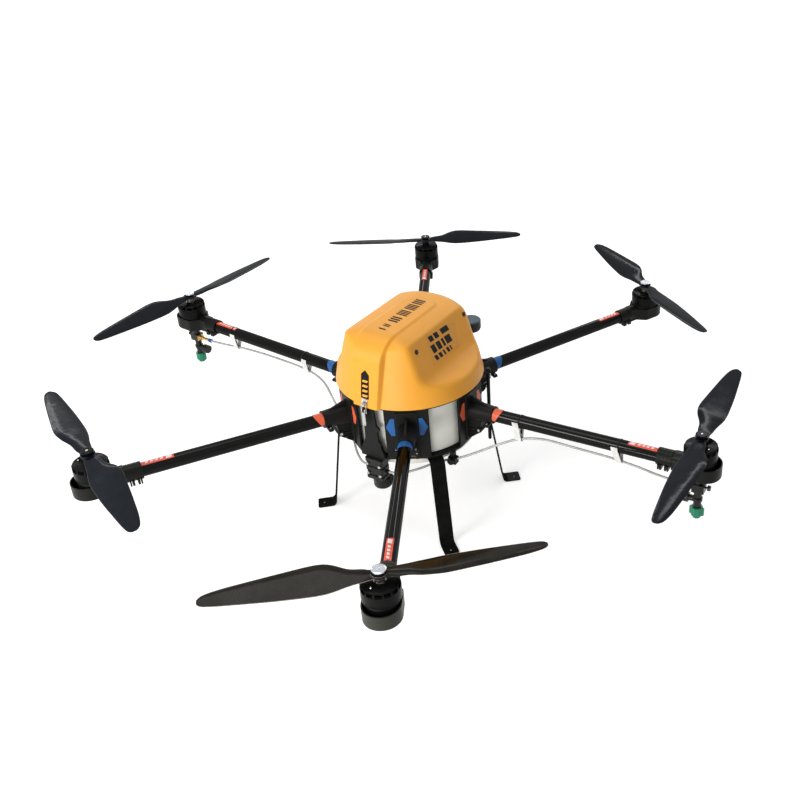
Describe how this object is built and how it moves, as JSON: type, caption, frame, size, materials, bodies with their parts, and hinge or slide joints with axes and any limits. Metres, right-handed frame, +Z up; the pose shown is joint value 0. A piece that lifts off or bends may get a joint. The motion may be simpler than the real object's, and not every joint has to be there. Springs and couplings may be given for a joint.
{
  "type": "agricultural spraying hexacopter",
  "caption": "Crop-spraying drone with a covered centre tank, radial tube arms with tilted rotors, strip legs, a nose pump and nozzles hung under two motors.",
  "frame": {"origin": "on the ground under the body's vertical axis, at the centre of the foot bolt pattern", "axes": "+Z up, nose and spray pump towards -Y, arm 1 along +X with the others counter-clockwise every 60 degrees"},
  "size_m": [1.9932, 2.1174, 0.6803],
  "materials": {
    "battery_wrap": "satin shrink wrap",
    "bell": "satin anodised",
    "black_frame": "satin moulded",
    "black_small": "matte",
    "carbon": "clear-coated carbon fibre",
    "cover_shell": "satin moulded",
    "green_cap": "satin moulded",
    "hose_clear": "clear",
    "marker": "satin, blue on the even arms and orange on the odd ones",
    "steel": "bright",
    "tank_plastic": "satin translucent",
    "white_small": "satin",
    "winding": "satin"
  },
  "bodies": {
    "frame": {"antenna": "black_small", "arm_bracket_1": "black_frame", "arm_bracket_2": "black_frame", "arm_bracket_3": "black_frame", "arm_bracket_4": "black_frame", "arm_bracket_5": "black_frame", "arm_bracket_6": "black_frame", "arm_markers": "marker", "arm_tube_1": "carbon", "arm_tube_2": "carbon", "arm_tube_3": "carbon", "arm_tube_4": "carbon", "arm_tube_5": "carbon", "arm_tube_6": "carbon", "battery": "battery_wrap", "cover_hinge": "steel", "flight_controller": "black_small", "frame_screws": "steel", "hose_fittings": "black_small", "leg_1": "carbon", "leg_2": "carbon", "leg_3": "carbon", "leg_4": "carbon", "lower_frame_ring": "black_frame", "motor_mount_1": "black_frame", "motor_mount_2": "black_frame", "motor_mount_3": "black_frame", "motor_mount_4": "black_frame", "motor_mount_5": "black_frame", "motor_mount_6": "black_frame", "motor_stators": "winding", "nozzle_left": "black_small", "nozzle_right": "black_small", "pump_bracket": "black_frame", "signal_lead": "white_small", "spray_hose_left": "hose_clear", "spray_hose_right": "hose_clear", "spray_pump": "black_frame", "tank": "tank_plastic", "upper_frame_plate": "black_frame"},
    "rotor_1": {"rotor_1": "bell", "propeller_1": "carbon"},
    "rotor_2": {"rotor_2": "bell", "propeller_2": "carbon"},
    "rotor_3": {"rotor_3": "bell", "propeller_3": "carbon"},
    "rotor_4": {"rotor_4": "bell", "propeller_4": "carbon"},
    "rotor_5": {"rotor_5": "bell", "propeller_5": "carbon"},
    "rotor_6": {"rotor_6": "bell", "propeller_6": "carbon"},
    "cover": {"cover": "cover_shell", "cover_fittings": "black_small", "gps_puck": "black_small"},
    "latch_lever": {"latch_lever": "steel"},
    "latch_bail": {"latch_bail": "steel"},
    "tank_cap": {"tank_cap": "black_small"},
    "nozzle_cap_right": {"nozzle_cap_right": "green_cap"},
    "nozzle_cap_left": {"nozzle_cap_left": "green_cap"}
  },
  "joints": [
    {"name": "rotor_1_spin", "type": "hinge", "parent": "frame", "child": "rotor_1", "pos_m": [0.93288, 0, 0.48509], "axis": [-0.0523, 0, 0.9986], "continuous": true},
    {"name": "rotor_2_spin", "type": "hinge", "parent": "frame", "child": "rotor_2", "pos_m": [0.46644, 0.8079, 0.48509], "axis": [-0.0262, -0.0453, 0.9986], "continuous": true},
    {"name": "rotor_3_spin", "type": "hinge", "parent": "frame", "child": "rotor_3", "pos_m": [-0.46644, 0.8079, 0.48509], "axis": [0.0262, -0.0453, 0.9986], "continuous": true},
    {"name": "rotor_4_spin", "type": "hinge", "parent": "frame", "child": "rotor_4", "pos_m": [-0.93288, 0, 0.48509], "axis": [0.0523, 0, 0.9986], "continuous": true},
    {"name": "rotor_5_spin", "type": "hinge", "parent": "frame", "child": "rotor_5", "pos_m": [-0.46644, -0.8079, 0.48509], "axis": [0.0262, 0.0453, 0.9986], "continuous": true},
    {"name": "rotor_6_spin", "type": "hinge", "parent": "frame", "child": "rotor_6", "pos_m": [0.46644, -0.8079, 0.48509], "axis": [-0.0262, 0.0453, 0.9986], "continuous": true},
    {"name": "cover_hinge", "type": "hinge", "parent": "frame", "child": "cover", "pos_m": [0, 0.236, 0.484], "axis": [-1, 0, 0], "range_deg": [0, 95]},
    {"name": "latch_lever", "type": "hinge", "parent": "frame", "child": "latch_lever", "pos_m": [0, -0.241, 0.472], "axis": [-1, 0, 0], "range_deg": [0, 95]},
    {"name": "latch_bail", "type": "hinge", "parent": "latch_lever", "child": "latch_bail", "pos_m": [0, -0.241, 0.462], "axis": [-1, 0, 0], "range_deg": [-80, 0]},
    {"name": "tank_cap_turn", "type": "hinge", "parent": "frame", "child": "tank_cap", "pos_m": [0, 0.128, 0.49], "axis": [0, 0, 1], "range_deg": [0, 90]},
    {"name": "nozzle_cap_right_turn", "type": "hinge", "parent": "frame", "child": "nozzle_cap_right", "pos_m": [0.94387, 0, 0.27538], "axis": [-0.0523, 0, 0.9986], "range_deg": [0, 90]},
    {"name": "nozzle_cap_left_turn", "type": "hinge", "parent": "frame", "child": "nozzle_cap_left", "pos_m": [-0.94387, 0, 0.27538], "axis": [0.0523, 0, 0.9986], "range_deg": [0, 90]}
  ],
  "couplings": [
    {"joint": "latch_bail", "follows": "latch_lever", "ratio": -0.8}
  ]
}
